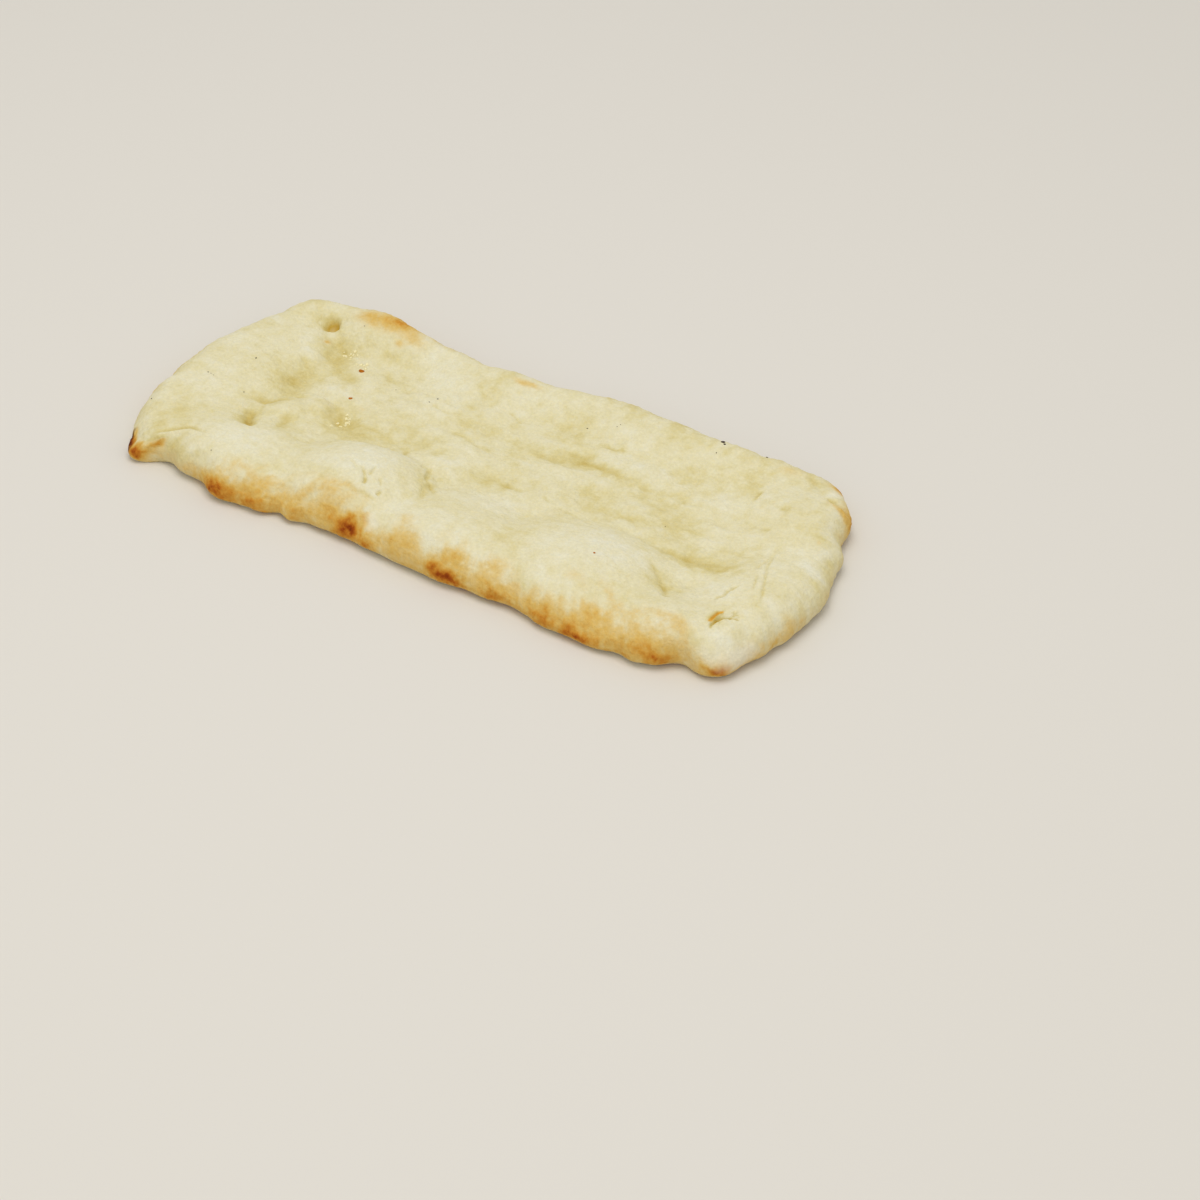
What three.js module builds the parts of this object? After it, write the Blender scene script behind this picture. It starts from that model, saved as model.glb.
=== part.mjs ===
// A baked pizza base: one oblong piece of hand-stretched dough with a pressed middle and a puffed rim.
// Millimetres, +X along its length, +Y across it, +Z up. It rests flat on z = 0, centred on the origin.
import * as THREE from 'three';

// Driving dimensions.
const LENGTH = 265;
const WIDTH = 122;
const MIDDLE = 8.5;          // thickness of the pressed middle
const END_FULLNESS = 7;      // how square the outline's long sides run into its ends
const SIDE_FULLNESS = 2.7;   // how square its short ends run into the sides
const TOP_ROUND = 10;        // how far in from the outline the edge reaches its full height
const UNDER_ROUND = 5;       // how far in from the outline the dough meets the table
const WAIST_SHARE = 0.36;    // height of the edge's outermost line, as a share of the thickness there
const BLEND = 3;             // how sharply one swelling meets the next: higher is sharper

// Mesh steps.
const COLUMNS = 192;         // a multiple of four: the columns pair up across the spine
const TOP_RINGS = 15;
const ROUND_STEPS = 5;
const UNDER_STEPS = 3;
const SPINE = 74;            // half the length of the line on which the rings close
const WALK_STEPS = 4000;     // fine steps that measure a quarter of the outline

// The outline leaves the plain oblong here: `out` mm at `at`, fading over `reach` mm.
const OUTLINE_PULLS = [
  { at: [-122, -45], out: 4.5, reach: 9 },    // front-left tip, drawn to a point
  { at: [-115, -51], out: 8.5, reach: 7 },    // the tip again, nearer its front
  { at: [-107, -56], out: -1.0, reach: 9 },   // notch beside the tip
  { at: [-111, -54], out: -1.0, reach: 4 },
  { at: [-98, -58], out: 1.2, reach: 4 },     // scallops of the front edge
  { at: [-88, -59], out: -1.2, reach: 5 },
  { at: [-78, -60], out: 4.2, reach: 11 },    // first bulge of the front
  { at: [-63, -61], out: 1.6, reach: 5 },
  { at: [-56, -61], out: -1.2, reach: 3 },
  { at: [-50, -61], out: 1.0, reach: 3 },
  { at: [-43, -61], out: -0.6, reach: 3 },
  { at: [-38, -61], out: -1.5, reach: 15 },   // shallow bay under the big bubble
  { at: [-26, -61], out: -1.0, reach: 4 },
  { at: [10, -61], out: 1.5, reach: 11 },     // small bulge of the front
  { at: [41, -61], out: -1.0, reach: 5 },
  { at: [53, -61], out: 0.6, reach: 3 },
  { at: [70, -61], out: 3.5, reach: 23 },     // long bulge of the front
  { at: [86, -60], out: -0.9, reach: 4 },
  { at: [92, -59], out: 3.0, reach: 7 },      // its swollen end
  { at: [99, -58], out: 1.2, reach: 3 },
  { at: [106, -56], out: -1.7, reach: 4 },    // step before the front-right corner
  { at: [117, -50], out: 5.5, reach: 9 },     // front-right corner
  { at: [132, -31], out: -0.8, reach: 4 },
  { at: [132, -20], out: -1.5, reach: 19 },   // right end, a little flat
  { at: [132, 12], out: -3.8, reach: 10 },    // right end falls back
  { at: [129, 33], out: -7.0, reach: 13 },    // fold in the right end
  { at: [131, 27], out: 0.9, reach: 4 },
  { at: [126, 39], out: -2.0, reach: 4 },     // its deepest place
  { at: [121, 45], out: 0.6, reach: 3 },
  { at: [119, 48], out: -2.5, reach: 14 },    // back-right corner, blunt
  { at: [114, 53], out: -1.4, reach: 3 },
  { at: [106, 56], out: 4.0, reach: 12 },     // the corner's far side
  { at: [79, 60], out: -1.2, reach: 4 },
  { at: [62, 61], out: -2.6, reach: 16 },     // back edge, a little hollow
  { at: [20, 61], out: 2.4, reach: 9 },       // small bulge of the back
  { at: [-12, 61], out: -5.0, reach: 11 },    // waist of the back edge
  { at: [-8, 61], out: -1.0, reach: 4 },
  { at: [-38, 61], out: -6.0, reach: 14 },    // the waist's deepest part
  { at: [-68, 61], out: -5.0, reach: 17 },    // the waist's left end
  { at: [-96, 58], out: -1.0, reach: 4 },
  { at: [-112, 53], out: 1.5, reach: 11 },    // back-left corner
  { at: [-125, 42], out: -0.9, reach: 4 },
  { at: [-130, 30], out: -3.0, reach: 16 },   // left end, rounded off
  { at: [-132, 17], out: -0.9, reach: 4 },
  { at: [-132, -19], out: -0.8, reach: 4 },
  { at: [-130, -30], out: 2.5, reach: 24 },   // left end, towards the tip
];

// Swellings above the middle: `half` lengths across and along, `up` mm at the crest.
// A low `edge` gives a steep foot and a flat crown, a high one a soft foot.
const SWELLINGS = [
  { at: [-84, -46], half: [46, 30], up: 7.0, edge: 1.5 },     // front roll, left part
  { at: [-37, -38], half: [31, 27], up: 9.8, edge: 1.0 },     // big bubble
  { at: [8, -48], half: [46, 30], up: 7.6, edge: 1.5 },       // front roll, middle
  { at: [56, -38], half: [41, 31], up: 8.2, edge: 1.2 },      // low wide bubble
  { at: [98, -48], half: [34, 25], up: 6.8, edge: 1.4 },      // front roll, right part
  { at: [121, -20], half: [34, 46], up: 6.6, edge: 1.4 },     // right rim
  { at: [114, 32], half: [34, 36], up: 5.8, edge: 1.4 },
  { at: [60, 56], half: [70, 26], up: 5.6, edge: 1.4 },       // back rim
  { at: [-20, 54], half: [66, 23], up: 4.8, edge: 1.4 },
  { at: [-80, 54], half: [38, 23], up: 8.4, edge: 1.3 },      // toasted bulge
  { at: [-114, 50], half: [24, 21], up: 6.4, edge: 1.3 },     // back-left corner
  { at: [-122, 2], half: [33, 64], up: 5.8, edge: 0.8 },      // broad left flap
  { at: [-84, -14], half: [9, 10], up: 3.4, edge: 1.2 },      // three little bubbles in the left hollow
  { at: [-97, -21], half: [7, 6], up: 2.4, edge: 1.2 },
  { at: [-75, -5], half: [7, 6], up: 1.8, edge: 1.2 },
  { at: [92, -17], half: [11, 9], up: 2.2, edge: 1.2 },       // two lumps by the right rim
  { at: [93, 30], half: [9, 12], up: 2.2, edge: 1.2 },
];

// Pinches and hollows pressed into the top: `down` mm, fading over the `half` lengths, turned by `turn`.
const HOLLOWS = [
  { at: [-101, 41.4], half: [5, 4.5], turn: 20, down: 3.2 },  // deep pinch by the back-left corner
  { at: [-86, 26], half: [14, 6], turn: -45, down: 1.6 },     // gully that runs from it
  { at: [-90, 2], half: [5, 14], turn: 0, down: 1.2 },        // the gully goes on beside the flap
  { at: [-90, -28], half: [7, 3.5], turn: -52, down: 1.4 },   // pinch in the left hollow
  { at: [-63, -6], half: [7, 6], turn: -30, down: 1.4 },
  { at: [84, -29], half: [9, 5], turn: -48, down: 1.2 },      // pinch at the foot of the low bubble
  { at: [83, -12], half: [17, 6], turn: 0, down: 0.8 },       // long hollow behind the low bubble
  { at: [26, 18], half: [24, 5], turn: 0, down: 0.7 },
  { at: [83, 34], half: [5, 9], turn: 0, down: 0.4 },         // dent behind the right lump
];

const NODE = 'pizza_base';

const power = (value, exponent) => Math.sign(value) * Math.abs(value) ** exponent;

// How far a point lies from a feature's centre, in the feature's own half lengths.
function spread(x, y, { at, half, turn = 0 }) {
  const angle = THREE.MathUtils.degToRad(turn);
  const dx = x - at[0];
  const dy = y - at[1];
  const along = (dx * Math.cos(angle) + dy * Math.sin(angle)) / half[0];
  const across = (dy * Math.cos(angle) - dx * Math.sin(angle)) / half[1];
  return along ** 2 + across ** 2;
}

// Height of the top skin: the middle, the swellings melted into one another, less the hollows.
function topHeight(x, y) {
  const raised = SWELLINGS.map((one) => one.up * Math.max(0, 1 - spread(x, y, one)) ** one.edge);
  const swollen = raised.reduce((sum, up) => sum + up ** BLEND, 0) ** (1 / BLEND);
  const pressed = HOLLOWS.map((one) => one.down * Math.exp(-spread(x, y, one)));
  return MIDDLE + swollen - pressed.reduce((sum, down) => sum + down, 0);
}

// A point of the plain oblong, before its pulls, at angle `turn` round it.
function oblong(turn) {
  return new THREE.Vector2(
    (LENGTH / 2) * power(Math.cos(turn), 2 / END_FULLNESS),
    (WIDTH / 2) * power(Math.sin(turn), 2 / SIDE_FULLNESS),
  );
}

// The angle at which a walk along the first quarter of the oblong has covered `share` of it.
function quarterTurn(share) {
  const stride = Math.PI / 2 / WALK_STEPS;
  const corners = Array.from({ length: WALK_STEPS + 1 }, (_, i) => oblong(i * stride));
  const walked = corners.map(() => 0);
  for (let i = 1; i <= WALK_STEPS; i += 1) {
    walked[i] = walked[i - 1] + corners[i].distanceTo(corners[i - 1]);
  }
  return walked.findIndex((length) => length >= walked[WALK_STEPS] * share) * stride;
}

// Angles that step evenly along the oblong, the same way in all four quarters.
function evenTurns(count) {
  return Array.from({ length: count }, (_, i) => {
    const quarter = Math.floor((4 * i) / count);
    const share = (4 * i) / count - quarter;
    const turn = quarter % 2 === 0 ? quarterTurn(share) : Math.PI / 2 - quarterTurn(1 - share);
    return (quarter * Math.PI) / 2 + turn;
  });
}

// The dough's outline at angle `turn`: the oblong, pulled out and in along its own normal.
function outline(turn) {
  const here = oblong(turn);
  const normal = new THREE.Vector2(
    power(here.x / (LENGTH / 2), END_FULLNESS - 1) / LENGTH,
    power(here.y / (WIDTH / 2), SIDE_FULLNESS - 1) / WIDTH,
  ).normalize();
  const out = OUTLINE_PULLS.reduce((sum, pull) => {
    const far = here.distanceTo(new THREE.Vector2(...pull.at)) / pull.reach;
    return sum + pull.out * Math.exp(-(far ** 2));
  }, 0);
  return here.addScaledVector(normal, out);
}

// One column of skin points, from the spine over the top, round the edge and back under the dough.
function column(turn) {
  const edge = outline(turn);
  const spine = new THREE.Vector2(SPINE * power(Math.cos(turn), 2 / END_FULLNESS), 0);
  const reach = edge.distanceTo(spine);
  const inset = (depth) => edge.clone().lerp(spine, depth / reach);
  const waist = WAIST_SHARE * topHeight(edge.x, edge.y);
  const points = [];
  for (let k = 0; k < TOP_RINGS; k += 1) {
    const at = inset(THREE.MathUtils.lerp(reach, TOP_ROUND, k / TOP_RINGS));
    points.push([at.x, at.y, topHeight(at.x, at.y)]);
  }
  for (let k = 0; k < ROUND_STEPS; k += 1) {
    const angle = ((1 - k / ROUND_STEPS) * Math.PI) / 2;
    const at = inset(TOP_ROUND * (1 - Math.cos(angle)));
    points.push([at.x, at.y, THREE.MathUtils.lerp(waist, topHeight(at.x, at.y), Math.sin(angle))]);
  }
  for (let k = 0; k <= UNDER_STEPS; k += 1) {
    const angle = ((k / UNDER_STEPS) * Math.PI) / 2;
    const at = inset(UNDER_ROUND * (1 - Math.cos(angle)));
    points.push([at.x, at.y, waist * (1 - Math.sin(angle))]);
  }
  points.push([spine.x, 0, 0]);
  return points;
}

// Skins the columns. The first and last point of a column lie on the spine, where the column
// from the other side of the dough ends too, so each such pair is one shared point.
function doughGeometry() {
  const columns = evenTurns(COLUMNS).map(column);
  const last = columns[0].length - 1;
  const positions = [];
  const seen = new Map();
  const vertex = (i, k) => {
    const turnIndex = i % COLUMNS;
    const onSpine = k === 0 || k === last;
    const key = `${onSpine ? Math.min(turnIndex, COLUMNS - turnIndex) : turnIndex}:${k}`;
    if (!seen.has(key)) {
      seen.set(key, positions.length / 3);
      positions.push(...columns[turnIndex][k]);
    }
    return seen.get(key);
  };
  const triangles = [];
  for (let i = 0; i < COLUMNS; i += 1) {
    for (let k = 0; k < last; k += 1) {
      const corners = [vertex(i, k), vertex(i, k + 1), vertex(i + 1, k + 1), vertex(i + 1, k)];
      triangles.push(corners[0], corners[1], corners[2]);
      triangles.push(corners[0], corners[2], corners[3]);
    }
  }
  const geometry = new THREE.BufferGeometry();
  geometry.setAttribute('position', new THREE.Float32BufferAttribute(positions, 3));
  geometry.setIndex(triangles);
  geometry.computeBoundingBox();
  const middle = geometry.boundingBox.getCenter(new THREE.Vector3());
  geometry.translate(-middle.x, -middle.y, 0);
  geometry.computeVertexNormals();
  return geometry;
}

const bakedDough = new THREE.MeshStandardMaterial({ color: 0xe4dab2, roughness: 0.85, metalness: 0 });

const dough = new THREE.Mesh(doughGeometry(), bakedDough);
dough.name = NODE;

const group = new THREE.Group();
group.add(dough);

export default group;
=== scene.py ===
"""The looks of a baked pizza base: an oblong of hand-stretched dough with a pressed, lumpy middle,
a puffed rim with two big bubbles, pinches and creases, and toasted patches along its edges.

The dough's form is worked out in millimetres in the frame's own axes, and turned to metres once."""
import math
import random

import bmesh
import bpy
import numpy as np
from mathutils import Matrix, Vector, noise
from mathutils.bvhtree import BVHTree


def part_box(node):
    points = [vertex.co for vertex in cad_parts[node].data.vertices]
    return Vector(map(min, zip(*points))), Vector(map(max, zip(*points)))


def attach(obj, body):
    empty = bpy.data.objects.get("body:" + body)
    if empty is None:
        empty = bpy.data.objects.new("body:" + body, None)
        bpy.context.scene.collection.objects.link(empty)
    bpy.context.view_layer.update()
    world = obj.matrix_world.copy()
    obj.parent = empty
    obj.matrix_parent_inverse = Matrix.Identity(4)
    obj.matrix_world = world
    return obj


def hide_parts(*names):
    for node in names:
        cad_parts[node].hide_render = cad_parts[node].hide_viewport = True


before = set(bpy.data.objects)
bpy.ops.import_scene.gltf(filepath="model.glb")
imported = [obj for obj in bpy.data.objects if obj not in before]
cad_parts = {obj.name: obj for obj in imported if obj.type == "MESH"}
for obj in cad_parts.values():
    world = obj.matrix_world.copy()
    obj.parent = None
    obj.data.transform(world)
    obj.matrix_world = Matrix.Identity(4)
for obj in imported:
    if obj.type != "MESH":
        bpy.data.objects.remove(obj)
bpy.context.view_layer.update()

NODE = "pizza_base"
BODY = "root"
MM = 0.001

box_low, box_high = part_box(NODE)

# ---------------- the dough's driving sizes, in mm
LENGTH = 265                 # of the plain oblong, before its edge is pulled about
WIDTH = 122
MIDDLE = 8.5                 # thickness of the pressed middle
END_FULLNESS = 7             # how square the long sides run into the ends
SIDE_FULLNESS = 2.7          # how square the ends run into the long sides
TOP_ROUND = 10               # how far in from the outline the edge reaches its full height
UNDER_ROUND = 5              # how far in from the outline the dough meets the table
WAIST_SHARE = 0.36           # height of the edge's outermost line, as a share of the thickness there
BLEND = 3                    # how sharply one swelling meets the next

COLUMNS = 740                # skin points round the outline, a multiple of four
TOP_RINGS = 68
ROUND_STEPS = 20
UNDER_STEPS = 8
BOTTOM_RINGS = 12
SPINE = 74                   # half the length of the line on which the rings close
WALK_STEPS = 4000            # steps that measure a quarter of the oblong's edge
LYING = 0.01                 # points lower than this lie on the table
LEAST_LIFT = 0.02            # and no other point is pressed lower than this

# ---------------- the stage, in metres and radians
FLOOR_SIZE = 6.0
DROP_HEIGHT = 0.1            # from which crumbs fall straight down on the skin
ROOM_LIGHT = 0.615           # strength of the light from all round
CAMERA_AIM = (0.0647, -0.0369, 0.0)
CAMERA_AWAY = 1.1015
CAMERA_AZIMUTH = math.radians(27.93)
CAMERA_ELEVATION = math.radians(37.4)
CAMERA_ROLL = math.radians(3.6)

# ---------------- the dough's form and marks, in mm
# Where the outline leaves the plain oblong: place, mm outwards, reach in mm.
OUTLINE_PULLS = (
    # front-left tip, drawn to a point, and the notch beside it
    ((-122, -45), 4.5, 9), ((-115, -51), 8.5, 7), ((-107, -56), -1.0, 9), ((-111, -54), -1.0, 4),
    # scallops and first bulge of the front
    ((-98, -58), 1.2, 4), ((-88, -59), -1.2, 5), ((-78, -60), 4.2, 11), ((-63, -61), 1.6, 5),
    ((-56, -61), -1.2, 3), ((-50, -61), 1.0, 3), ((-43, -61), -0.6, 3),
    # shallow bay under the big bubble, and a small bulge after it
    ((-38, -61), -1.5, 15), ((-26, -61), -1.0, 4), ((10, -61), 1.5, 11), ((41, -61), -1.0, 5),
    ((53, -61), 0.6, 3),
    # long bulge of the front, its swollen end and the step after it
    ((70, -61), 3.5, 23), ((86, -60), -0.9, 4), ((92, -59), 3.0, 7), ((99, -58), 1.2, 3),
    ((106, -56), -1.7, 4),
    # front-right corner, and the right end, which falls back to its fold
    ((117, -50), 5.5, 9), ((132, -31), -0.8, 4), ((132, -20), -1.5, 19), ((132, 12), -3.8, 10),
    ((129, 33), -7.0, 13), ((131, 27), 0.9, 4), ((126, 39), -2.0, 4), ((121, 45), 0.6, 3),
    # back-right corner, blunt
    ((119, 48), -2.5, 14), ((114, 53), -1.4, 3), ((106, 56), 4.0, 12),
    # back edge: a little hollow, a small bulge, and the waist in its left half
    ((79, 60), -1.2, 4), ((62, 61), -2.6, 16), ((20, 61), 2.4, 9), ((-12, 61), -5.0, 11),
    ((-8, 61), -1.0, 4), ((-38, 61), -6.0, 14), ((-68, 61), -5.0, 17), ((-96, 58), -1.0, 4),
    # back-left corner, and the left end, rounded off and then full towards the tip
    ((-112, 53), 1.5, 11), ((-125, 42), -0.9, 4), ((-130, 30), -3.0, 16), ((-132, 17), -0.9, 4),
    ((-132, -19), -0.8, 4), ((-130, -30), 2.5, 24),
)

# Swellings above the middle: centre, half lengths, mm up, and how soft the foot is.
SWELLINGS = (
    ((-84, -46), (46, 30), 7.0, 1.5),       # front roll, left part
    ((-37, -38), (31, 27), 9.8, 1.0),       # big bubble
    ((8, -48), (46, 30), 7.6, 1.5),         # front roll, middle
    ((56, -38), (41, 31), 8.2, 1.2),        # low wide bubble
    ((98, -48), (34, 25), 6.8, 1.4),        # front roll, right part
    ((121, -20), (34, 46), 6.6, 1.4),       # right rim
    ((114, 32), (34, 36), 5.8, 1.4),
    ((60, 56), (70, 26), 5.6, 1.4),         # back rim
    ((-20, 54), (66, 23), 4.8, 1.4),
    ((-80, 54), (38, 23), 8.4, 1.3),        # toasted bulge
    ((-114, 50), (24, 21), 6.4, 1.3),       # back-left corner
    ((-122, 2), (33, 64), 5.8, 0.8),        # broad left flap
    ((-84, -14), (9, 10), 3.4, 1.2),        # three little bubbles in the left hollow
    ((-97, -21), (7, 6), 2.4, 1.2),
    ((-75, -5), (7, 6), 1.8, 1.2),
    ((92, -17), (11, 9), 2.2, 1.2),         # two lumps by the right rim
    ((93, 30), (9, 12), 2.2, 1.2),
)

# Pinches and hollows: centre, half lengths, turn in degrees, mm down.
HOLLOWS = (
    ((-101, 41.4), (5, 4.5), 20, 1.5),      # deep pinch by the back-left corner
    ((-86, 26), (14, 6), -45, 1.6),         # gully that runs from it
    ((-90, 2), (5, 14), 0, 1.2),            # the gully goes on beside the flap
    ((-90, -28), (7, 3.5), -52, 1.4),       # pinch in the left hollow
    ((-63, -6), (7, 6), -30, 1.4),
    ((84, -29), (9, 5), -48, 1.2),          # pinch at the foot of the low bubble
    ((83, -12), (17, 6), 0, 0.8),           # long hollow behind the low bubble
    ((26, 18), (24, 5), 0, 0.7),
    ((83, 34), (5, 9), 0, 0.4),             # dent behind the right lump
)

# Creases and wrinkles in the top skin: the line they follow, their width and depth.
CREASES = (
    # round the foot of the big bubble
    (((-23.5, -13.8), (-20, -15.5), (-18.5, -18.5), (-17, -21.5), (-16.2, -23.4), (-14.8, -24),
      (-12.5, -26), (-11.5, -27.7), (-10, -28.4), (-8.8, -30.5), (-8.3, -33)), 0.9, 0.8),
    (((-15.5, -23), (-14.5, -25.5), (-12.8, -30), (-11.2, -34), (-10.5, -36.5), (-10, -41)), 1.2, 0.5),
    (((-23.5, -14.2), (-22.5, -16), (-21, -18)), 0.8, 0.4),
    (((-34, -8.5), (-33.5, -10.5), (-32, -13), (-30.5, -15.8)), 0.8, 0.8),
    (((-46, -12), (-40, -13), (-35, -12)), 1.0, 0.4),
    # cracks in the big bubble
    (((-34.4, -36.4), (-32.5, -39.5), (-31, -41), (-29.6, -42.5), (-29.2, -44),
      (-28.4, -45.9)), 0.5, 0.8),
    (((-30.2, -41.3), (-29.4, -43), (-29, -44.4), (-28.5, -45.8)), 0.7, 0.6),
    (((-30.8, -33.6), (-30, -36.5), (-29.4, -39), (-29, -41.8)), 0.45, 0.7),
    (((-39.4, -36.8), (-37, -38.3), (-34.2, -39.9)), 0.5, 0.5),
    (((-26, -38.6), (-24.3, -41), (-23.4, -42.8)), 0.45, 0.6),
    (((-22.4, -43.6), (-22.3, -45), (-22.2, -46.9)), 0.6, 1.0),
    # across its front
    (((-36.5, -50), (-35, -49.7), (-32, -48.5), (-29, -49.2), (-27, -48.3), (-25, -48.7), (-24, -48.3),
      (-21.5, -48), (-19, -46.5)), 0.8, 0.8),
    (((-46, -48.2), (-44, -48.8), (-41.5, -49.8)), 0.8, 0.5),
    # behind the low bubble and round its end
    (((45, -5), (51, -8), (60, -9), (72, -10), (82, -10.5), (92, -9), (98, -10)), 1.4, 0.25),
    (((72, -20.5), (76, -24), (81, -27.5), (86.5, -32.8)), 1.2, 0.5),
    (((84, -30), (86.3, -33.4), (88.2, -37.4)), 0.8, 0.7),
    # round the right lump
    (((86.6, 39), (86.8, 34), (87, 29)), 0.9, 0.8),
    (((87, 29), (87.5, 22), (92, 18.5), (96, 16)), 1.1, 0.4),
    (((95, 16.5), (101, 18)), 1.0, 0.5),
    (((87, 34), (94, 31), (100, 30)), 0.9, 0.4),
    # along the foot of the right rim
    (((106.2, 13), (108, 4), (110, -4), (112, -9), (115, -16), (117.5, -23), (119, -31)), 0.55, 0.6),
    (((106.5, 11), (107.5, -1), (107.0, -11)), 0.55, 0.4),
    (((108.6, -9), (111, -15), (113.6, -22.5)), 0.5, 0.5),
    (((108, -18.5), (105.3, -23.8), (105.4, -27), (103.7, -28.7), (104, -31.5)), 0.6, 1.2),
    # from the front roll to the front-left tip
    (((-92, -48.6), (-97, -47.6), (-101, -46.8), (-104.5, -48.5), (-109, -51.5),
      (-114, -55.5)), 0.9, 1.0),
    # folds of the middle
    (((12, 23), (18, 22.8), (22, 24), (26, 27)), 1.2, 0.45),
    (((16, 20.4), (26, 20.8), (35, 19.6), (46, 19.2)), 1.3, 0.45),
    (((50, 20.5), (70, 20), (84, 20.5), (93, 18.5)), 1.0, 0.25),
    (((-2, -4), (6, -6.5), (10, -7.2), (17, -7.5)), 1.0, 0.4),
    (((21, -6.5), (27, -9.5)), 0.8, 0.5),
    (((29, -10), (36, -9.8), (41, -9.4)), 0.9, 0.5),
    (((44, 24), (50, 23), (54, 23.5)), 1.0, 0.4),
    (((29, 33.5), (34, 33.8), (39, 32.4)), 0.7, 0.4),
    (((-44, 20.4), (-38, 18.8), (-32, 17.6)), 0.8, 0.6),
    (((-17, 32.2), (-12, 31), (-8, 28.6)), 1.0, 0.4),
    (((-34, 40), (-29, 36), (-26.5, 31)), 1.2, 0.5),
    (((-61, -5), (-52, -4.5), (-45, -5.5)), 1.1, 0.5),
    (((-31, 10), (-22, 9.5), (-14, 7), (-3, 6.8)), 1.2, 0.4),
    # from the deep pinch down its gully
    (((-97, 38), (-92, 34.5), (-88, 32), (-84.5, 28)), 1.3, 0.4),
    (((-103, 36.5), (-107, 33)), 1.0, 0.4),
    (((-98, 19), (-95, 15.5), (-92, 12)), 1.5, 0.6),
    # along the foot of the left flap, and between it and the little bubbles
    (((-92, 12), (-91.5, 4), (-91, -4)), 2.2, 0.15),
    (((-87.5, -4), (-84, -3), (-79, -0.5)), 0.9, 0.4),
    (((-73, 0.5), (-68, -1.5), (-65.5, -5), (-63, -10)), 1.2, 0.4),
    (((-80.5, -15), (-79, -21), (-78.5, -28)), 1.7, 0.55),
    (((-96, -16.5), (-91.5, -13), (-87, -10), (-82, -6.6)), 1.3, 0.5),
    (((-93.5, -21), (-91, -25.5), (-88, -30), (-85.5, -32.6), (-82.5, -33.6)), 1.6, 0.7),
    # fold in the back-right corner, and the one in the right end
    (((93, 57), (98, 53), (102.5, 49.6), (107, 45.6), (111, 43)), 1.6, 0.45),
    (((108, 45), (110.6, 43), (114, 42.4), (117, 43), (122, 45)), 0.8, 1.2),
)

# The torn slit in the right rim: its trench and three short tears beside it, in the same terms.
TEARS = (
    (((112.3, -38.3), (111.3, -40), (110.5, -42.4), (110.2, -45), (110.9, -47.6)), 0.55, 0.75),
    (((110.9, -40.7), (112.0, -39), (113.4, -37.8), (114.2, -36), (115.4, -34)), 0.5, 0.7),
    (((112.6, -38), (114.8, -37.6), (117, -37.2)), 0.45, 0.7),
    (((109.8, -35.7), (109.2, -37.8), (109.0, -40), (109.0, -42), (108.8, -45)), 0.5, 0.6),
)

# The slit's toasted lip: its line, its half width, and how far it turns the skin beside it buttery.
LIP_LINE = ((111.0, -35.9), (109.8, -35.8), (109.2, -37.8), (109.0, -40), (109.0, -42), (108.8, -45.2))
LIP_HALF = 0.8
LIP_GLOW = 1.7

# The deep pinch by the back-left corner: its middle, half lengths, turn and depth. It slopes down
# from its left and far sides to a steep corner on the right and in front.
PINCH_AT = (-100.6, 40.9)
PINCH_HALF = (3.5, 3.1)
PINCH_TURN = 32
PINCH_DEPTH = 1.8

# Where the skin is cut finer, for cracks, pinches and tears: centre, half lengths, cuts to each side.
FINE_AREAS = (
    ((-27, -41), (14, 9), 1), ((-16, -24), (9, 12), 1), ((112, -40), (6, 9), 2),
    ((110.5, -8), (7.5, 23), 1), ((-100.5, 41), (6, 6), 2), ((-88.5, -27.5), (7.5, 7.5), 1),
    ((115, 44), (7, 6), 1),
)

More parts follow.
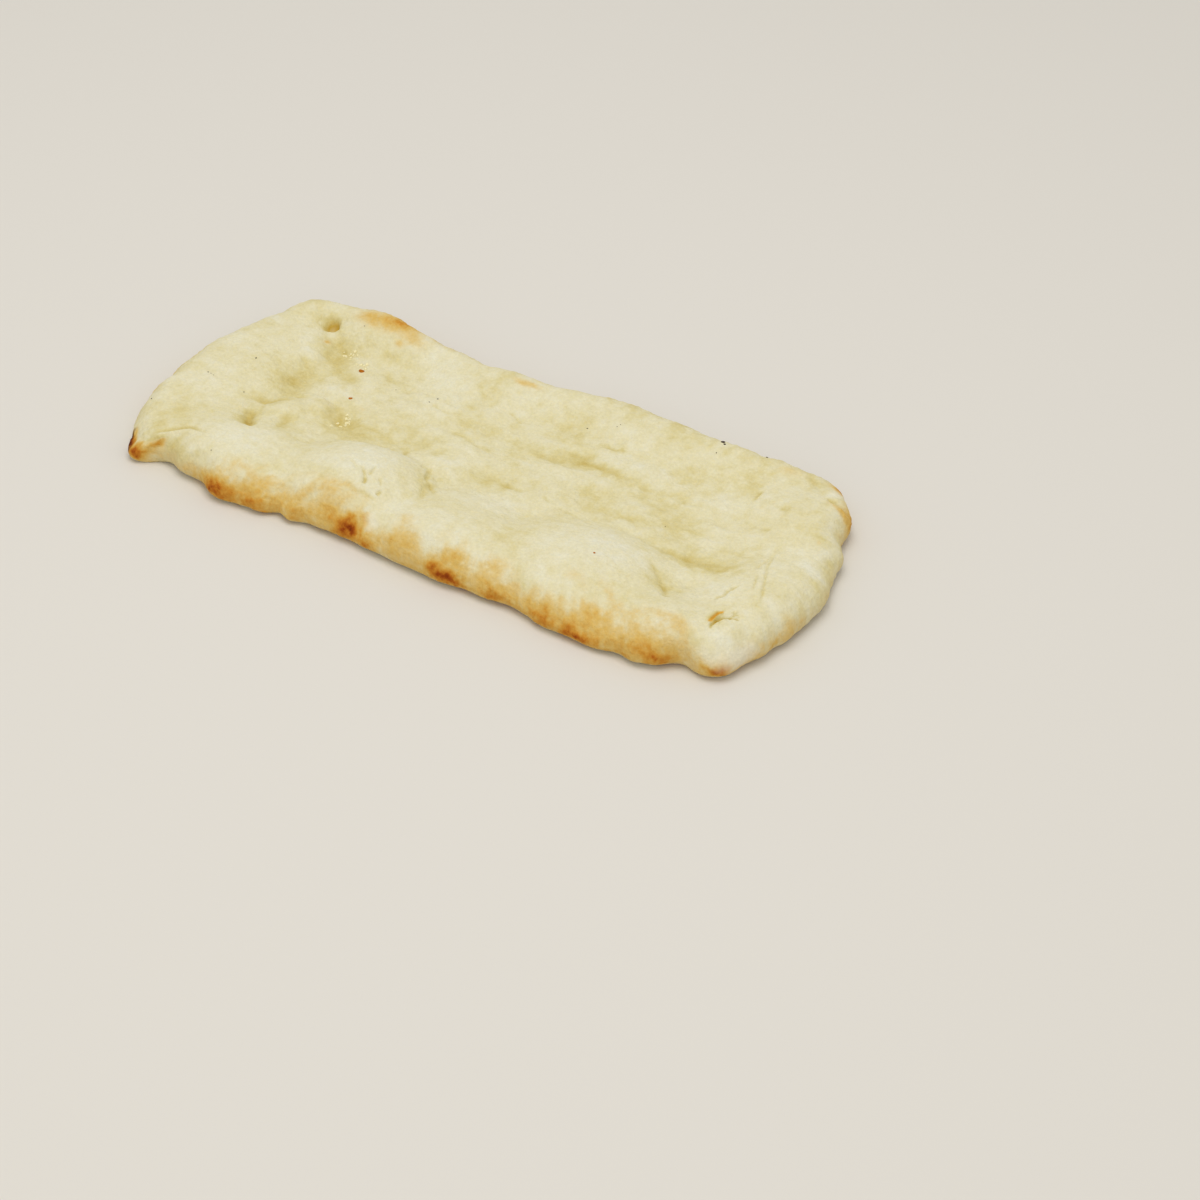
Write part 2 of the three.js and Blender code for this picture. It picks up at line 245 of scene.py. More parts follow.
# Small dents and knobs: centre, half lengths, turn in degrees, mm up (below nought: down).
KNOBS = (
    # dents in the left hollow and behind it
    ((-89.5, -28), (4.5, 1.6), -52, -0.5), ((-90, -32), (3, 2), -40, -0.4),
    ((-96.5, 33.2), (1.4, 1.4), 0, -0.5), ((-95, -14.5), (4, 2), 20, -0.9),
    ((-91, 25), (3.5, 1.5), 25, -0.6), ((-76, 16.5), (4, 2.4), -20, -0.7),
    ((-71.5, 15.3), (2, 1), -20, -0.4), ((-63.5, 26), (4, 1.8), -15, -0.6),
    ((-53.5, 23), (2, 2), 0, -0.45), ((-57, 34.5), (2.6, 1.3), -30, -0.5),
    ((-61, 18), (1.6, 1.6), 0, -0.35),
    # dents in the middle and round the right lump
    ((-22.5, 36.5), (1.8, 2.2), 0, -0.5), ((-28.5, 27.5), (2, 3), 0, -0.5),
    ((28.2, 32.3), (2.2, 1.0), 0, -0.8), ((9.5, 16.2), (5, 1.6), 0, -0.6),
    ((84.8, 33.5), (1.0, 7), 0, -0.45), ((99.2, 30), (1.2, 1.3), 0, -0.7),
    ((58.5, 27.8), (2, 1.1), 0, -0.5), ((54, -1), (3.5, 1.2), 0, -0.5), ((8, -7), (3, 1.2), -20, -0.5),
    ((-34, -9), (2.5, 1.2), -30, -0.5), ((18.5, -18), (2.2, 1.0), 0, -0.4),
    ((-25, -5), (6, 3), 0, -0.4), ((93, 4), (1.4, 3), 0, -0.35), ((79, -4), (1.5, 2.4), 30, -0.35),
    ((66.5, 2.6), (0.9, 0.9), 0, -0.3),
    # the little bubbles of the left hollow
    ((-74, -6), (4.2, 4), 0, 1.0), ((-97, -23), (2.2, 3), 0, 0.8), ((-88, -21.3), (4.6, 3), -30, 1.1),
    # low knobs of the middle
    ((6, 3), (5, 3.6), 0, 0.7), ((-2, -1.5), (7, 2), -15, 0.4), ((-66, 21.5), (4, 2.4), 0, 0.5),
    ((36, 26), (5, 3.2), 0, 0.5), ((31, -3.5), (6, 3), 0, 0.4), ((70, -5.5), (7, 2.5), -10, 0.5),
    ((-15, -13), (5, 3.5), -20, 0.5), ((-45, 15), (6, 3), -20, 0.4), ((76, 10), (9, 4), 0, 0.4),
    ((-52, 8), (6, 4), -30, 0.4), ((17, 12), (6, 3), 10, 0.35),
    # the torn slit's lip, two pits and a knob beside it
    ((109.8, -40.5), (0.5, 2.4), -5, 0.5), ((113.5, -34.2), (0.7, 1.0), 0, -1.2),
    ((113.8, -38.5), (0.6, 0.6), 0, -0.6), ((117.5, -43), (3, 4), 0, 0.6),
    # bulge of the back-right corner, and a pit by the low bubble
    ((110.5, 49.5), (6, 4), -45, 1.5), ((88.3, -37.3), (1.5, 1.2), 0, -0.8),
)

# Toasting that follows the edge all round: place in plan, how far up the edge it reaches in mm,
# and how strong it is at the outermost line. Toast runs from 0, untouched, to 1, dark brown. At and
# below the outermost line it is partly painted shade: the shade at the dough's foot, drawn as more
# toasting.
EDGE_TOAST_AND_FOOT_SHADE = (
    # from the front-left tip along the front
    ((-122, -57), 5, 0.3), ((-113, -57), 5, 0.24), ((-105, -59), 3.5, 0.14), ((-95, -60), 4, 0.2),
    ((-88, -62), 6, 0.3), ((-80, -64), 10, 0.4), ((-74, -63), 11, 0.36), ((-68, -63), 8.5, 0.36),
    ((-62, -62), 9.5, 0.38), ((-56, -62), 8.5, 0.34), ((-50, -62), 12, 0.32), ((-44, -62), 12, 0.26),
    ((-39, -61), 12, 0.2), ((-35, -61), 10, 0.3), ((-30, -61), 9, 0.36), ((-23, -61), 9, 0.4),
    ((-17, -61), 5, 0.38), ((-11, -61), 5, 0.24), ((-7, -61), 7, 0.34), ((-3, -61), 8, 0.3),
    ((0.5, -62), 12.5, 0.42), ((4, -62), 6.5, 0.32), ((12, -63), 9.5, 0.4), ((20, -62), 11, 0.4),
    ((26, -62), 7.5, 0.28), ((33, -62), 11, 0.34), ((40, -62), 9, 0.36), ((46, -62), 4.5, 0.34),
    ((53, -63), 9.5, 0.42), ((60, -64), 9.5, 0.34), ((66, -64), 11, 0.4), ((73, -64), 12.5, 0.38),
    ((82, -64), 16, 0.34), ((88, -63), 12, 0.36), ((96, -61), 14, 0.34), ((103, -57), 10, 0.3),
    ((110, -56), 5, 0.24),
    # front-right corner and right end
    ((118, -55), 5, 0.34), ((124, -48), 5, 0.26), ((128, -38), 5, 0.22), ((131, -25), 7, 0.19),
    ((131, -10), 5, 0.14), ((129, 10), 4, 0.12), ((124, 28), 4, 0.14), ((121, 39), 6.5, 0.26),
    # back edge
    ((112, 52), 6, 0.18), ((106, 58), 7, 0.3), ((92, 58), 6, 0.25), ((60, 58), 5, 0.22),
    ((20, 63), 5, 0.22), ((-10, 56), 6, 0.26), ((-50, 55), 6, 0.26), ((-80, 58), 10, 0.28),
    ((-100, 59), 6, 0.26),
    # left end
    ((-122, 50), 5, 0.18), ((-129, 25), 5, 0.18), ((-133, 0), 5, 0.22), ((-134, -25), 6, 0.24),
    ((-131, -42), 4, 0.1), ((-127, -49), 4, 0.14),
)

# Hotter spots on the edge: place in plan, mm up the edge, half lengths along and up it, strength.
EDGE_SPOTS = (
    # front-left tip
    ((-123.5, -56), 1.0, (3.2, 2.6), 0.7), ((-117.4, -60), 1.8, (2.2, 1.9), 0.58),
    ((-114.5, -60), 0.8, (3, 1.8), 0.32), ((-111, -58), 5.0, (1.8, 1.5), 0.4),
    # first bulge of the front
    ((-80.3, -63.5), 1.8, (3.2, 2.4), 0.54), ((-75, -63), 1.8, (4, 3), 0.34),
    ((-64.5, -63), 0.5, (2, 2.5), 0.25), ((-56, -62), 4, (2.5, 2), 0.12),
    # round the foot of the big bubble
    ((-46, -62), 2, (2.2, 1.5), 0.18), ((-42, -62), 14, (6, 3), 0.12),
    ((-25.2, -61), 3.0, (1.9, 1.5), 0.78), ((-27, -61), 2.2, (4.6, 3.2), 0.38),
    ((-22.8, -61), 8.0, (1.4, 1.6), 0.28), ((-27.3, -61), 6.4, (1.3, 1.3), 0.34),
    ((-35.5, -61), 6.5, (3, 3), 0.26), ((-18, -62), 0, (2, 2), 0.25), ((-8, -61), 6, (2, 2), 0.14),
    # middle of the front, with haze higher up
    ((11.5, -63), 1.6, (2.6, 2), 0.54), ((15.5, -63), 0.8, (2.8, 1.6), 0.54),
    ((19.5, -63), -0.8, (3, 1.4), 0.42), ((17.5, -63), 8, (3, 2.2), 0.14),
    ((31, -62), 9.5, (3.5, 3), 0.14), ((-6, -61), 12, (4, 4), 0.16), ((0, -61), 8, (2.6, 2.2), 0.18),
    ((-64, -63), 12, (3, 3), 0.14), ((34.5, -62), 0.3, (1.5, 1.5), 0.2),
    # long bulge of the front
    ((52.5, -63), 2.4, (2, 1.4), 0.24), ((56, -63), 6, (2.5, 2), 0.18), ((37, -62), 3, (3, 1.8), 0.2),
    ((37, -62), 0, (5, 1.6), 0.2), ((58, -63), 0, (2.4, 2), 0.18), ((69, -64), 0.4, (4, 1.8), 0.54),
    ((76, -64), 10.5, (3, 1.6), 0.14), ((93, -62), 3.5, (2.2, 2), 0.22),
    ((97, -60), 1.2, (1.5, 1.3), 0.42), ((99.5, -59), -1, (3.4, 2), 0.3),
    # front-right corner and right end
    ((118.5, -56), 0, (3, 1.5), 0.42), ((131, -25), 3, (3, 3.5), 0.1), ((130, -31), 0, (2, 1.5), 0.18),
    ((118.5, 42.5), 2, (4, 3.5), 0.28), ((116, 43), 6, (2.4, 3), 0.1),
    # back edge
    ((110, 57), 4.5, (2.6, 3.2), 0.34), ((-80, 60), 7, (12, 5), 0.14), ((-62, 56), 1, (6, 3), 0.35),
    ((-32, 54), 2, (5, 3), 0.3), ((12, 61), 1, (8, 3), 0.35), ((38, 61), 1, (4, 2), 0.3),
    ((72, 58), 1, (6, 3), 0.32),
    # left end
    ((-133, 2), 0, (8, 3), 0.22), ((-129, 28), 0, (5, 2), 0.26), ((-133, -25), 1, (6, 3), 0.28),
)

# Charred skin at the front-left tip, in the same terms.
CHARS = (
    ((-124.5, -54.5), 0.8, (3.8, 2.4), 1.0), ((-121, -58.5), 0, (2.6, 1.8), 0.9),
)

# Flour left on the edge, in the same terms.
FLOURED = (
    ((124, -47), 3, (7, 4), 0.9), ((117, -55), 6, (6, 3), 0.5), ((-19, -61), 9, (4, 3), 0.6),
    ((112, 51), 8, (5, 4), 0.5),
)

# Toast on the top: centre, half lengths, strength.
TOP_TOASTS = (
    # back rim, back-right corner and right rim
    ((-80, 48), (12, 4.2), 0.26), ((-75.5, 50), (4, 2.2), 0.28), ((-87, 47.5), (4, 2.4), 0.1),
    ((-70, 41.5), (2, 1.4), 0.16), ((-66, 45), (4, 2.4), 0.1), ((-17, 46.5), (5, 1.8), 0.26),
    ((3, 46), (2.4, 3), 0.12), ((90, 52), (5, 3), 0.12), ((109.8, 55.0), (2.6, 2.2), 0.28),
    ((77, 47), (3, 2), 0.07), ((118.5, 18.5), (1.3, 1), 0.16),
    # left hollow and tip
    ((-96.2, 32.2), (1.1, 1.9), 0.3), ((-99.2, 40.4), (1.2, 1.6), 0.1), ((-61.5, 4), (2, 1.4), 0.14),
    ((-73, -1), (3.4, 1.8), 0.1), ((-66, 6), (2.4, 1.4), 0.08), ((-116.4, -59.4), (1.6, 1.3), 0.34),
    # fold in the right end
    ((113.4, 41.2), (3.6, 1.2), 0.14), ((117.5, 40.2), (3, 1.6), 0.24),
    # left flap and front roll
    ((-116, -37), (3, 2), 0.08), ((-123, -3), (2, 1.4), 0.06), ((-45, -49), (6, 2.4), 0.06),
    ((-32, -48.8), (6, 1.2), 0.07), ((-36, -46), (5, 2.4), 0.05), ((58, -48), (2.4, 2.4), 0.11),
    ((-7, -50), (3, 2.4), 0.1), ((98, -50), (9, 3), 0.15),
)

# Where the skin is more buttery (above nought) or paler (below) than the rest: centre, half lengths,
# amount. The buttery marks in hollows, creases and dents are painted shade.
BUTTERY_AND_SHADED = (
    # hollows, creases and dents: painted shade, darker and more buttery
    ((-102.5, 42), (4, 3.4), 0.08), ((-88, 27), (7, 5), 0.07), ((-86, -32), (4, 2), 0.1),
    ((-91, -31.5), (4, 3), 0.07), ((-41, -47), (8, 3), 0.1), ((-90, -8), (5, 12), 0.04),
    ((-91, 28), (8, 9), 0.08), ((-78, 18), (7, 6), 0.07), ((-90, -26), (4, 6), 0.1),
    ((-64, -8), (9, 6), 0.07), ((-60, 25), (12, 4), 0.06), ((-28, 30), (4, 10), 0.06),
    ((-24, -5), (8, 5), 0.08), ((-5, -8), (7, 3), 0.05), ((30, 20.5), (15, 2.4), 0.12),
    ((11, 16.5), (8, 2.6), 0.09), ((28.5, 32.5), (3, 1.6), 0.18), ((-15, 20), (9, 3), 0.05),
    ((55, 31), (14, 5), 0.05), ((58, 0), (10, 3), 0.06), ((86, -11), (12, 4), 0.15),
    ((84, 35), (4.5, 8), 0.11), ((84, -30), (7, 5), 0.07), ((117, 24), (9, 11), 0.06),
    ((100, 30), (3, 3), 0.07), ((-78.5, -23), (2.5, 7), 0.08), ((2, -2), (6, 3), 0.03),
    ((-94, 31), (3, 6), 0.03),
    # paler: bubbles, left flap, right rim and the foot of the back rim
    ((-33, -27), (13, 9), -0.1), ((-46, -38), (12, 8), -0.06), ((42, -30), (22, 14), -0.045),
    ((-112, 8), (9, 18), -0.04), ((110, 2), (10, 12), -0.05), ((-20, -46), (12, 5), -0.04),
    ((22, 38), (7, 10), -0.03), ((-6, 38), (8, 8), -0.02),
    # back rim, all along
    ((0, 57), (130, 8), 0.06),
    # paler again: rim, bubbles and corners
    ((97, -20), (9, 6), -0.03), ((112, -10), (7, 20), -0.05), ((-35, -30), (16, 10), -0.02),
    ((55, -28), (24, 9), -0.02), ((120, -44), (8, 8), -0.04), ((-70, -45), (22, 6), -0.03),
    ((112, 49), (5, 4), -0.08),
)

# Specks of char, the widest on the back rim, and toasted crumbs: centre and width in mm.
CHAR_SPECKS = (
    ((-108, 2.7), 0.8), ((-100.6, -15.5), 0.5), ((-117, -14.8), 0.6), ((-115.8, -14.9), 0.45),
    ((-114.3, -15.2), 0.45), ((-41.1, 23), 0.75), ((-43, 20.2), 0.65), ((13.6, 38.6), 0.75),
    ((23.4, 43), 0.5), ((24.1, 44.6), 0.45), ((-76, 31.5), 0.4), ((-58.5, 21.6), 0.45),
    ((62.8, 46.2), 0.5), ((66.4, 2.6), 0.4), ((-126.5, -36.8), 0.6), ((-87, -54.8), 0.4),
    ((-86.5, 43), 0.4), ((61.8, 53.2), 1.9), ((63.0, 52.2), 1.2), ((79, 55), 1.2),
)
TOASTED_CRUMBS = (((-75.4, 24.2), 2.3), ((-68.4, 6.3), 1.6), ((58.8, -34.7), 1.0))

# Soft wet crumbs of torn dough, in patches: centre, half lengths, how many. Their widths in mm, and
# the seed that scatters them.
WET_CRUMBS = (((-85, 31.5), (4.5, 3), 16), ((-77.5, 28), (4, 2), 8), ((-63, -5), (2.6, 4.4), 14))
WET_CRUMB_WIDTHS = (0.7, 1.6)
WET_CRUMB_SEED = 7

# ---------------- the skin's noise
SEED_STRIDE = 17.3           # how far apart two seeds lie in the noise, in lumps
MARK_FALL = 0.7              # how fast a soft mark fades towards its half length

# Lumps that kneading leaves in the middle, and the long waves that carry them: mm up for rounded
# lumps and for ridges between them, size in mm along each axis, and seed. The whole is let down a bit.
KNEADED = ((0.38, 0.52, (9, 5.5, 9), 1), (0.30, 0.36, (4.6, 3.2, 4.6), 2), (1.9, 0, (24, 17, 24), 3))
KNEADED_DOWN = 0.33

# Layers of noise: weight, size of the lumps in mm, and seed. Three raise the skin, in mm; blisters
# swing the toast on the edge, clouds swing the butter, and the last two move the rims of marks, in mm.
BROAD = ((0.55, 17, 4), (0.20, 7, 5))
GRAIN = ((0.18, 2.8, 6), (0.24, 1.7, 7))
DIMPLES = ((1.1, 12, 9),)
BLISTERS = ((0.28, 1.9, 16),)
CLOUDS = ((0.03, 15, 19), (0.10, 28, 25), (0.05, 3.4, 20))
WANDER_ALONG = ((1.7, 4.5, 11), (1.3, 2.0, 12))
WANDER_UP = ((1.5, 4.0, 13), (1.2, 1.9, 14))

# Streaks that run up the edge, fine ones, broader ones and folds: width and length in mm, and seed.
# Below, what each does: mm up, share of the toasted tone, share of the buttery tone, and how ragged it
# leaves the toasted band.
STREAKS = ((1.5, 8, 8), (3.2, 9, 22), (6.5, 10, 23))
STREAK_UP = (0.15, 0.08, 0.12)
STREAK_TOAST = (0.18, 0.14, 0.3)
STREAK_BUTTER = (0.04, 0.03, 0.13)
STREAK_RAG = (0, 0.10, 0.35)

# Broad lobes along the foot of the edge: width and length in mm, and seed. Below, mm up.
LOBES = (9, 22, 21)
LOBE_UP = 0.7

# Painted shade, a darker buttery yellow, in skin that lies low: how much per mm of its depth and at most,
# in dents, hollows, creases and tears.
SUNKEN_SHADE = ((0.10, 0.14), (0.05, 0.16), (0.18, 0.25), (0.36, 0.42))


# ---------------- the dough's form
def power(value, exponent):
    return np.sign(value) * np.abs(value) ** exponent


def smooth(low, high, value):
    """0 below low, 1 above high, and a soft step between them. With low above high the step falls."""
    t = np.clip((value - low) / (high - low), 0, 1)
    return t * t * (3 - 2 * t)


def own_lengths(x, y, at, half, turn):
    """How far points lie from a feature's centre, along and across it, in its own half lengths."""
    angle = math.radians(turn)
    dx, dy = x - at[0], y - at[1]
    along = (dx * math.cos(angle) + dy * math.sin(angle)) / half[0]
    across = (dy * math.cos(angle) - dx * math.sin(angle)) / half[1]
    return along, across


def spread(x, y, at, half, turn=0.0):
    """How far points lie from a feature's centre, squared, in its own half lengths."""
    along, across = own_lengths(x, y, at, half, turn)
    return along ** 2 + across ** 2


def line_reach(x, y, line):
    """Distance from points to a line of straight runs in mm, and a share that fades to 0 at its ends."""
    runs = [math.dist(start, stop) for start, stop in zip(line, line[1:])]
    nearest = np.full(x.shape, np.inf)
    walked = np.zeros(x.shape)
    done = 0
    for (ax, ay), (bx, by), run in zip(line, line[1:], runs):
        share = np.clip(((x - ax) * (bx - ax) + (y - ay) * (by - ay)) / run ** 2, 0, 1)
        away = np.hypot(x - ax - share * (bx - ax), y - ay - share * (by - ay))
        walked = np.where(away < nearest, (done + share * run) / sum(runs), walked)
        nearest = np.minimum(nearest, away)
        done += run
    return nearest, smooth(0, 0.3, walked) * smooth(1, 0.7, walked)


def swollen(x, y):
    """Height of the swellings above the middle, melted into one another."""
    total = sum((up * np.maximum(0, 1 - spread(x, y, at, half)) ** foot) ** BLEND
                for at, half, up, foot in SWELLINGS)
    return total ** (1 / BLEND)


def bumped(x, y, bumps):
    """Height of soft bumps, or depth of soft hollows."""
    return sum(amount * np.exp(-spread(x, y, at, half, turn)) for at, half, turn, amount in bumps)


def creased(x, y, lines, lip=0.0):
    """Depth of creases or tears, which run out at both ends, less their raised lips."""
    depth = 0 * x
    for line, wide, down in lines:
        away, fade = line_reach(x, y, line)
        trench = np.exp(-(away / wide) ** 2) - lip * np.exp(-(away / wide - 2) ** 2)
        depth = depth + down * fade * trench
    return depth


def pinched(x, y):
    """How deep the deep pinch is, from 0 to 1: gentle on its left and far sides, steep on the others."""
    along, across = own_lengths(x, y, PINCH_AT, PINCH_HALF, PINCH_TURN)
    return (smooth(-1.5, 0.7, along) * smooth(1.25, 0.6, along)
            * smooth(-1.25, -0.55, across) * smooth(1.6, -0.5, across)
            * smooth(1.6, 1.0, np.hypot(along, across)))


def top_height(x, y):
    return MIDDLE + swollen(x, y) - bumped(x, y, HOLLOWS)


def oblong(turn):
    """A point of the plain oblong at an angle round it."""
    return np.stack([
        (LENGTH / 2) * power(np.cos(turn), 2 / END_FULLNESS),
        (WIDTH / 2) * power(np.sin(turn), 2 / SIDE_FULLNESS),
    ], axis=-1)


def even_turns():
    """Angles that step evenly along the oblong, the same way in all four quarters."""
    fine = np.linspace(0, np.pi / 2, WALK_STEPS + 1)
    strides = np.linalg.norm(np.diff(oblong(fine), axis=0), axis=1)
    walked = np.concatenate([[0], np.cumsum(strides)])
    share = np.arange(COLUMNS // 4) / (COLUMNS // 4)
    rising = np.interp(share * walked[-1], walked, fine)
    falling = np.pi / 2 - np.interp((1 - share) * walked[-1], walked, fine)
    quarters = [rising, falling, rising, falling]
    return np.concatenate([q * np.pi / 2 + turns for q, turns in enumerate(quarters)])


def outline(turn):
    """The dough's outline: the oblong, pulled out and in along its own normal."""
    here = oblong(turn)
    normal = np.stack([
        power(here[:, 0] / (LENGTH / 2), END_FULLNESS - 1) / LENGTH,
        power(here[:, 1] / (WIDTH / 2), SIDE_FULLNESS - 1) / WIDTH,
    ], axis=-1)
    normal /= np.linalg.norm(normal, axis=1, keepdims=True)
    out = sum(pull * np.exp(-(np.hypot(here[:, 0] - x, here[:, 1] - y) / reach) ** 2)
              for (x, y), pull, reach in OUTLINE_PULLS)
    return here + normal * out[:, None]


def skin_rings():
    """The dough's skin as rings of points: from the spine over the top, round the edge and back under."""
    turn = even_turns()
    edge = outline(turn)
    spine = np.stack([SPINE * power(np.cos(turn), 2 / END_FULLNESS), np.zeros(COLUMNS)], axis=-1)
    reach = np.linalg.norm(edge - spine, axis=1)
    waist = WAIST_SHARE * (MIDDLE + swollen(edge[:, 0], edge[:, 1]))

    # Each step is how far in from the outline it lies, and its share of the way from the waist up to
    # the top (above nought) or down to the table (below).
    steps = [(reach + (TOP_ROUND - reach) * share, 1) for share in np.arange(TOP_RINGS) / TOP_RINGS]
    steps += [(TOP_ROUND * (1 - math.cos(angle)), math.sin(angle))
              for angle in (1 - np.arange(ROUND_STEPS) / ROUND_STEPS) * np.pi / 2]
    steps += [(UNDER_ROUND * (1 - math.cos(angle)), -math.sin(angle))
              for angle in np.arange(UNDER_STEPS + 1) / UNDER_STEPS * np.pi / 2]
    steps += [(UNDER_ROUND + (reach - UNDER_ROUND) * share, -1)
              for share in np.arange(1, BOTTOM_RINGS + 1) / BOTTOM_RINGS]
    rings = []
    for depth, lift in steps:
        at = edge + (spine - edge) * (depth / reach)[:, None]
        way = top_height(at[:, 0], at[:, 1]) - waist if lift > 0 else waist
        rings.append(np.column_stack([at, waist + lift * way]))
    return np.array(rings)


def skin_mesh(rings):
    """Skins the rings. The first and last ring lie on the spine, where each point is shared with the
    column from the other side of the dough. Also gives the ring point that each mesh point came from."""
    column = np.arange(COLUMNS)
    folded = np.minimum(column, (COLUMNS - column) % COLUMNS)
    number = np.arange(rings.shape[0] * COLUMNS).reshape(rings.shape[0], COLUMNS)
    for ring in (0, -1):
        number[ring] = number[ring][folded]
    used, numbered = np.unique(number, return_inverse=True)
    number = numbered.reshape(number.shape)
    points = rings.reshape(-1, 3)[used]
    following = np.roll(number, -1, axis=1)
    faces = np.stack([number[:-1], number[1:], following[1:], following[:-1]], axis=-1).reshape(-1, 4)
    mesh = bpy.data.meshes.new(NODE)
    mesh.from_pydata(points.tolist(), [], faces.tolist())
    mesh.update()
    return mesh, used


def cut_finer(mesh):
    """Cuts the top skin finer in the places that need it."""
    shape = bmesh.new()
    shape.from_mesh(mesh)
    for at, half, cuts in FINE_AREAS:
        near = []
        for face in shape.faces:
            middle = face.calc_center_median()
            if abs(middle.x - at[0]) < half[0] and abs(middle.y - at[1]) < half[1] and face.normal.z > 0:
                near.append(face)
        sides = list({side for face in near for side in face.edges})
        bmesh.ops.subdivide_edges(shape, edges=sides, cuts=cuts, use_grid_fill=True)
    shape.to_mesh(mesh)
    shape.free()
    mesh.update()


# ---------------- places on the edge
class Edge:
    """Where each point of the skin lies along the edge, and how far up from its outermost line."""

    def __init__(self, rings, used):
        self.waist = rings[TOP_RINGS + ROUND_STEPS]
        steps = np.linalg.norm(np.roll(self.waist, -1, axis=0) - self.waist, axis=1)
        self.girth = steps.sum()
        self.starts = np.concatenate([[0], np.cumsum(steps)[:-1]])
        strides = np.linalg.norm(np.diff(rings, axis=0), axis=2)
        walked = np.concatenate([np.zeros((1, COLUMNS)), np.cumsum(strides, axis=0)])
        climb = walked[TOP_RINGS + ROUND_STEPS] - walked
        self.way = np.broadcast_to(self.starts, climb.shape).ravel()[used]
        self.climb = climb.ravel()[used]

    def angle(self):
        """The way round the edge as an angle."""
        return self.way / self.girth * 2 * np.pi

    def follow(self, mesh, cut):
        """Keeps each point's place on the edge while the mesh is cut finer. The way round is kept as
        the sine and cosine of an angle, which blend rightly where the edge's two ends meet."""
        kept = {"sine": np.sin(self.angle()), "cosine": np.cos(self.angle()), "climb": self.climb}
        set_attributes(mesh, kept)
        cut(mesh)
        for name in kept:
            values = np.zeros(len(mesh.vertices), np.float32)
            mesh.attributes[name].data.foreach_get("value", values)
            kept[name] = values.astype(float)
            mesh.attributes.remove(mesh.attributes[name])
        self.way = np.arctan2(kept["sine"], kept["cosine"]) % (2 * np.pi) / (2 * np.pi) * self.girth
        self.climb = kept["climb"]

    def start(self, at):
        """How far round the edge the outermost point nearest to a place is."""
        return self.starts[np.argmin(np.hypot(self.waist[:, 0] - at[0], self.waist[:, 1] - at[1]))]

    def marked(self, marks, wander):
        """Soft round marks, laid over one another, with ragged rims."""
        shares = []
        for at, up, (along, across), strength in marks:
            off = (self.way - self.start(at) + self.girth / 2) % self.girth - self.girth / 2
            away = ((off + wander[0]) / along) ** 2 + ((self.climb + wander[1] - up) / across) ** 2
            shares.append(strength * np.exp(-MARK_FALL * away))
        return together(*shares)

    def streaked(self, across, up, seed):
        """Smooth noise that lies on the edge in streaks: across and up are its lumps' sizes in mm."""
        reach = self.girth / (2 * np.pi * across)
        round_x, round_y = reach * np.cos(self.angle()), reach * np.sin(self.angle())
        return noise_at(np.column_stack([round_x, round_y, self.climb / up]), 1, seed)

    def band(self, places, ragged):
        """A band that follows the edge all round, strongest at the outermost line, with a haze above."""
        starts = [self.start(at) for at, _, _ in places]
        _, heights, strengths = zip(*places)
        high = np.interp(self.way, starts, heights, period=self.girth) * (1 + ragged)
        strong = np.interp(self.way, starts, strengths, period=self.girth)
        far = (np.maximum(self.climb, 0) / high) ** 2
        core, haze = 0.66 * np.exp(-1.05 * far), 0.26 * np.exp(-0.3 * far)
        return strong * (core + haze)


# ---------------- relief and finish of the skin
def noise_at(points, size, seed):
    """Smooth noise of about -1 to 1 at each point, with lumps of the given size in mm."""
    scaled = points / np.asarray(size, float) + SEED_STRIDE * seed
    return np.array([noise.noise(place) for place in scaled.tolist()])


def layered(points, layers):
    """Layers of smooth noise, each with its weight, size and seed."""
    return sum(weight * noise_at(points, size, seed) for weight, size, seed in layers)


def together(*shares):
    """Shares laid over one another, which never pass 1."""
    clear = 1.0
    for share in shares:
        clear = clear * (1 - share)
    return 1 - clear


def soft_marks(x, y, marks):
    """Soft marks on the top, one by one."""
    return [amount * np.exp(-MARK_FALL * spread(x, y, at, half)) for at, half, amount in marks]


def vertex_array(mesh, collection, name):
    values = np.zeros(len(mesh.vertices) * 3)
    getattr(mesh, collection).foreach_get(name, values)
    return values.reshape(-1, 3)


def set_attributes(mesh, named):
    for name, values in named.items():
        attribute = mesh.attributes.new(name, "FLOAT", "POINT")
        attribute.data.foreach_set("value", np.asarray(values, np.float32))


def kneaded_lumps(points):
    """Height of the lumps that kneading leaves in the middle."""
    height = np.full(len(points), -KNEADED_DOWN)
    for rounded, ridged, size, seed in KNEADED:
        lumps = noise_at(points, size, seed)
        height += rounded * lumps + ridged * np.abs(lumps)
    return height


